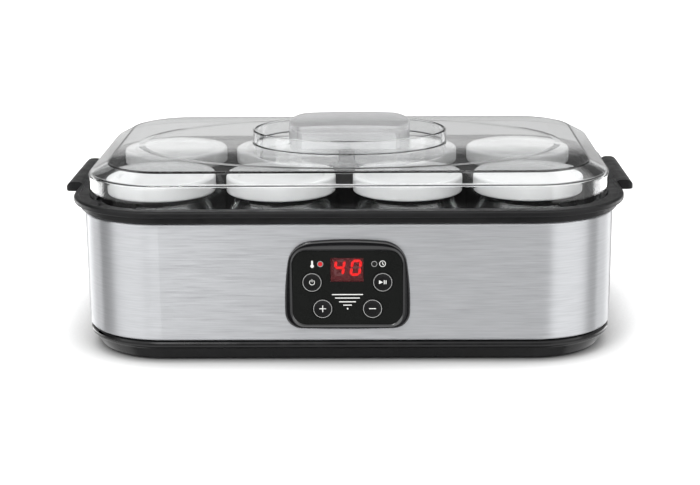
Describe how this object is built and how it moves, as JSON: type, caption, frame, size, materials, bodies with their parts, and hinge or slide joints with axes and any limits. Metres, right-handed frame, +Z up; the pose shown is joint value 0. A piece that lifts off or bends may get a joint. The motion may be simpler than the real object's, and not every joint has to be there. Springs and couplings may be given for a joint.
{
  "type": "yogurt maker",
  "caption": "Long steel yogurt maker with a black rim, a clear domed lid, capped glass jars in a warmed tub and a digital control panel.",
  "frame": {"origin": "on the table under the middle of the body, at the feet's lowest face", "axes": "+X to the right of the control panel and along the long side, +Y to the rear, +Z up"},
  "size_m": [0.366, 0.2296, 0.134],
  "materials": {
    "black_gloss": "gloss",
    "black_satin": "satin",
    "black_tub": "satin",
    "rubber": "matte",
    "label_foil": "satin",
    "screw_steel": "zinc plated",
    "brushed_steel": "brushed along X",
    "heater_red": "silicone sleeve",
    "foil": "foil",
    "cream_plastic": "matte",
    "ceramic_white": "matte",
    "board_green": "satin",
    "copper_tape": "satin",
    "blue_plastic": "gloss",
    "wire_red": "satin",
    "bezel_gloss": "high gloss",
    "fascia_black": "gloss",
    "window_red": "gloss, tinted",
    "module_dark": "matte",
    "lamp_dark": "gloss",
    "switch_grey": "matte",
    "button_black": "gloss",
    "lid_clear": "clear, polished",
    "knob_clear": "clear, polished",
    "jar_glass": "clear",
    "cap_white": "milky satin",
    "lit_red": "lit",
    "lamp_red": "lit"
  },
  "bodies": {
    "housing": {"base_pan": "black_gloss", "feet": "rubber", "rating_plate": "label_foil", "base_screws": "screw_steel", "steel_sleeve": "brushed_steel", "rim_frame": "black_satin", "inner_tub": "black_tub", "tub_screws": "screw_steel", "heater_wire": "heater_red", "heater_foil": "foil", "temperature_sensor": "cream_plastic", "thermal_fuse": "ceramic_white", "power_board": "board_green", "transformer": "copper_tape", "power_parts": "blue_plastic", "board_screws": "screw_steel", "wiring": "wire_red", "cord_gland": "rubber", "panel_bezel": "bezel_gloss", "panel_fascia": "fascia_black", "display_window": "window_red", "display_module": "module_dark", "display_digits": "lit_red", "heat_lamp": "lamp_red", "timer_lamp": "lamp_dark", "control_board": "board_green", "tact_switches": "switch_grey"},
    "lid": {"lid_shell": "lid_clear", "lid_knob": "knob_clear"},
    "button_mode": {"button_mode": "button_black"},
    "button_start": {"button_start": "button_black"},
    "button_plus": {"button_plus": "button_black"},
    "button_minus": {"button_minus": "button_black"},
    "jar_1": {"jar_1": "jar_glass"},
    "jar_2": {"jar_2": "jar_glass"},
    "jar_3": {"jar_3": "jar_glass"},
    "jar_4": {"jar_4": "jar_glass"},
    "jar_5": {"jar_5": "jar_glass"},
    "jar_6": {"jar_6": "jar_glass"},
    "jar_7": {"jar_7": "jar_glass"},
    "jar_8": {"jar_8": "jar_glass"},
    "jar_cap_1": {"jar_cap_1": "cap_white"},
    "jar_cap_2": {"jar_cap_2": "cap_white"},
    "jar_cap_3": {"jar_cap_3": "cap_white"},
    "jar_cap_4": {"jar_cap_4": "cap_white"},
    "jar_cap_5": {"jar_cap_5": "cap_white"},
    "jar_cap_6": {"jar_cap_6": "cap_white"},
    "jar_cap_7": {"jar_cap_7": "cap_white"},
    "jar_cap_8": {"jar_cap_8": "cap_white"}
  },
  "joints": [
    {"name": "lid_lift", "type": "slide", "parent": "housing", "child": "lid", "axis": [0, 0, 1], "range_m": [0, 0.2]},
    {"name": "jar_1_lift", "type": "slide", "parent": "housing", "child": "jar_1", "axis": [0, 0, 1], "range_m": [0, 0.09]},
    {"name": "jar_cap_1_lift", "type": "slide", "parent": "jar_1", "child": "jar_cap_1", "axis": [0, 0, 1], "range_m": [0, 0.03]},
    {"name": "jar_2_lift", "type": "slide", "parent": "housing", "child": "jar_2", "axis": [0, 0, 1], "range_m": [0, 0.09]},
    {"name": "jar_cap_2_lift", "type": "slide", "parent": "jar_2", "child": "jar_cap_2", "axis": [0, 0, 1], "range_m": [0, 0.03]},
    {"name": "jar_3_lift", "type": "slide", "parent": "housing", "child": "jar_3", "axis": [0, 0, 1], "range_m": [0, 0.09]},
    {"name": "jar_cap_3_lift", "type": "slide", "parent": "jar_3", "child": "jar_cap_3", "axis": [0, 0, 1], "range_m": [0, 0.03]},
    {"name": "jar_4_lift", "type": "slide", "parent": "housing", "child": "jar_4", "axis": [0, 0, 1], "range_m": [0, 0.09]},
    {"name": "jar_cap_4_lift", "type": "slide", "parent": "jar_4", "child": "jar_cap_4", "axis": [0, 0, 1], "range_m": [0, 0.03]},
    {"name": "jar_5_lift", "type": "slide", "parent": "housing", "child": "jar_5", "axis": [0, 0, 1], "range_m": [0, 0.09]},
    {"name": "jar_cap_5_lift", "type": "slide", "parent": "jar_5", "child": "jar_cap_5", "axis": [0, 0, 1], "range_m": [0, 0.03]},
    {"name": "jar_6_lift", "type": "slide", "parent": "housing", "child": "jar_6", "axis": [0, 0, 1], "range_m": [0, 0.09]},
    {"name": "jar_cap_6_lift", "type": "slide", "parent": "jar_6", "child": "jar_cap_6", "axis": [0, 0, 1], "range_m": [0, 0.03]},
    {"name": "jar_7_lift", "type": "slide", "parent": "housing", "child": "jar_7", "axis": [0, 0, 1], "range_m": [0, 0.09]},
    {"name": "jar_cap_7_lift", "type": "slide", "parent": "jar_7", "child": "jar_cap_7", "axis": [0, 0, 1], "range_m": [0, 0.03]},
    {"name": "jar_8_lift", "type": "slide", "parent": "housing", "child": "jar_8", "axis": [0, 0, 1], "range_m": [0, 0.09]},
    {"name": "jar_cap_8_lift", "type": "slide", "parent": "jar_8", "child": "jar_cap_8", "axis": [0, 0, 1], "range_m": [0, 0.03]},
    {"name": "button_mode_press", "type": "slide", "parent": "housing", "child": "button_mode", "axis": [0, 1, 0], "range_m": [0, 0.0008], "stiffness_N_per_m": 900},
    {"name": "button_start_press", "type": "slide", "parent": "housing", "child": "button_start", "axis": [0, 1, 0], "range_m": [0, 0.0008], "stiffness_N_per_m": 900},
    {"name": "button_plus_press", "type": "slide", "parent": "housing", "child": "button_plus", "axis": [0, 1, 0], "range_m": [0, 0.0008], "stiffness_N_per_m": 900},
    {"name": "button_minus_press", "type": "slide", "parent": "housing", "child": "button_minus", "axis": [0, 1, 0], "range_m": [0, 0.0008], "stiffness_N_per_m": 900}
  ],
  "couplings": [
    {"joint": "jar_1_lift", "follows": "lid_lift", "ratio": 0.45},
    {"joint": "jar_cap_1_lift", "follows": "lid_lift", "ratio": 0.15},
    {"joint": "jar_2_lift", "follows": "lid_lift", "ratio": 0.45},
    {"joint": "jar_cap_2_lift", "follows": "lid_lift", "ratio": 0.15},
    {"joint": "jar_3_lift", "follows": "lid_lift", "ratio": 0.45},
    {"joint": "jar_cap_3_lift", "follows": "lid_lift", "ratio": 0.15},
    {"joint": "jar_4_lift", "follows": "lid_lift", "ratio": 0.45},
    {"joint": "jar_cap_4_lift", "follows": "lid_lift", "ratio": 0.15},
    {"joint": "jar_5_lift", "follows": "lid_lift", "ratio": 0.45},
    {"joint": "jar_cap_5_lift", "follows": "lid_lift", "ratio": 0.15},
    {"joint": "jar_6_lift", "follows": "lid_lift", "ratio": 0.45},
    {"joint": "jar_cap_6_lift", "follows": "lid_lift", "ratio": 0.15},
    {"joint": "jar_7_lift", "follows": "lid_lift", "ratio": 0.45},
    {"joint": "jar_cap_7_lift", "follows": "lid_lift", "ratio": 0.15},
    {"joint": "jar_8_lift", "follows": "lid_lift", "ratio": 0.45},
    {"joint": "jar_cap_8_lift", "follows": "lid_lift", "ratio": 0.15}
  ]
}
